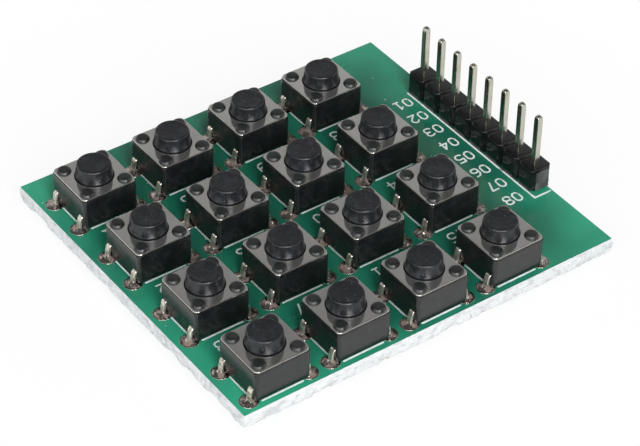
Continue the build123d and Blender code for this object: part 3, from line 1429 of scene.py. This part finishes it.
@dataclass(frozen=True)
class PhotoCamera:
    """A long-lens camera at the photograph's place, worked out from the switches and pins seen in it."""

    layout: Layout
    azimuth: float = 53.751
    elevation: float = 39.963
    roll: float = 1.044
    distance_mm: float = 239.879
    aim_mm: Pair = (21.122, 20.905)
    focal_px: float = 2490.764
    width_px: int = 640
    sensor_mm: float = 36.0

    def build(self) -> None:
        """Makes the camera and the scene's view from it."""
        a, r = math.radians(self.azimuth), math.radians(self.roll)
        back = towards(self.azimuth, self.elevation)
        level = Vector((math.cos(a), math.sin(a), 0))
        up = back.cross(level)
        right = level * math.cos(r) + up * math.sin(r)
        top = up * math.cos(r) - level * math.sin(r)
        low, high = self.layout.board
        aim = Vector((low[0] + self.aim_mm[0], low[1] + self.aim_mm[1], high[2])) * MM
        lens = bpy.data.cameras.new("camera")
        lens.sensor_width = self.sensor_mm
        lens.lens = self.focal_px / self.width_px * self.sensor_mm
        lens.clip_start, lens.clip_end = 0.005, 10.0
        lens.dof.use_dof = False
        camera = linked("camera", lens)
        turn = Matrix((right, top, back)).transposed().to_4x4()
        camera.matrix_world = Matrix.Translation(aim + back * self.distance_mm * MM) @ turn
        bpy.context.scene.camera = camera


@dataclass(frozen=True)
class Lamp:
    """A square soft lamp that looks at the keypad from a compass direction and height."""

    name: str
    azimuth: float
    elevation: float
    size: float
    power: float
    distance: float = 0.45

    def build(self) -> None:
        """Makes the lamp."""
        light = bpy.data.lights.new(self.name, "AREA")
        light.shape, light.size, light.energy = "SQUARE", self.size, self.power
        lamp, back = linked(self.name, light), towards(self.azimuth, self.elevation)
        lamp.location = back * self.distance
        lamp.rotation_euler = back.to_track_quat("Z", "Y").to_euler()


@dataclass(frozen=True)
class Studio:
    """A plain pale room: a white floor, soft low lamps all round, the strongest in front, and a far wall
    that shiny surfaces see darken upwards and towards the front."""

    ambient: float = 0.12
    glow: Pair = (0.1, 0.7)
    glow_level: float = 0.45
    glow_fall: Triple = (-1.34, 1.09, -2.1)
    floor_radii: tuple[float, ...] = (0, 100, 600, 3000)
    lamps: tuple[Lamp, ...] = (
        Lamp("key_lamp", 74, 31, 0.18, 1.4),
        Lamp("front_lamp", 40, 25, 0.26, 1.05),
        Lamp("left_lamp", 0, 25, 0.3, 0.5),
        Lamp("right_lamp", 150, 25, 0.3, 0.35),
        Lamp("far_lamp", 300, 25, 0.3, 0.2),
        Lamp("high_lamp", 78, 53, 0.11, 0.3),
    )

    def build_floor(self) -> None:
        """Makes the floor under the leg tips, level to its rim."""
        shell = Shell("floor", [PAPER])
        shell.grid(turned([(radius, 0) for radius in self.floor_radii], 48))
        floor = shell.build()

    def build_world(self) -> None:
        """Makes the room: white where the camera looks, even where it lights, graded in mirrors."""
        world = bpy.data.worlds.new("room")
        bpy.context.scene.world = world
        world.use_nodes = True
        world.node_tree.nodes.clear()
        wiring = Wiring(world.node_tree)
        ray = wiring.node("ShaderNodeLightPath").outputs
        way = wiring.node("ShaderNodeTexCoord").outputs["Generated"]
        fall = wiring.node("ShaderNodeVectorMath", {0: way, 1: self.glow_fall}, operation="DOT_PRODUCT")
        level = wiring.math("ADD", fall.outputs["Value"], self.glow_level)
        mirrored = wiring.spread(level, *self.glow, self.glow)
        lit = wiring.node("ShaderNodeMix", {0: ray["Is Glossy Ray"], 2: self.ambient, 3: mirrored}).outputs[0]
        seen = wiring.node("ShaderNodeMix", {0: ray["Is Camera Ray"], 2: lit, 3: 1.0}).outputs[0]
        glow = wiring.node("ShaderNodeBackground", {"Strength": seen}).outputs[0]
        wiring.node("ShaderNodeOutputWorld", {"Surface": glow})

    def build(self) -> None:
        """Makes the whole studio."""
        self.build_floor()
        self.build_world()
        for lamp in self.lamps:
            lamp.build()
        bpy.context.scene.view_settings.view_transform = "Standard"


def main() -> None:
    """Loads the frame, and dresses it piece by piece."""
    logging.basicConfig(level=logging.INFO, format="%(name)s %(message)s")
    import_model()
    layout = Layout()
    PhotoCamera(layout).build()
    Studio().build()
    cells = layout.cells()
    Board(layout).build()
    PrintedMarks(layout).build()
    SolderJoints(layout).build()
    for cell in cells:
        SwitchBase(layout).build(cell)
        SwitchButton(layout).build(cell)
        SnapDome(layout).build(cell)
    for row in range(1, layout.rows + 1):
        in_row = [cell for cell in cells if cell.row == row]
        SwitchCover(layout).build_row(row, in_row)
        TerminalStrips(layout).build_row(row, in_row)
    header = Header(layout)
    header.build_housing()
    header.build_pins()


if __name__ == "__main__":
    main()
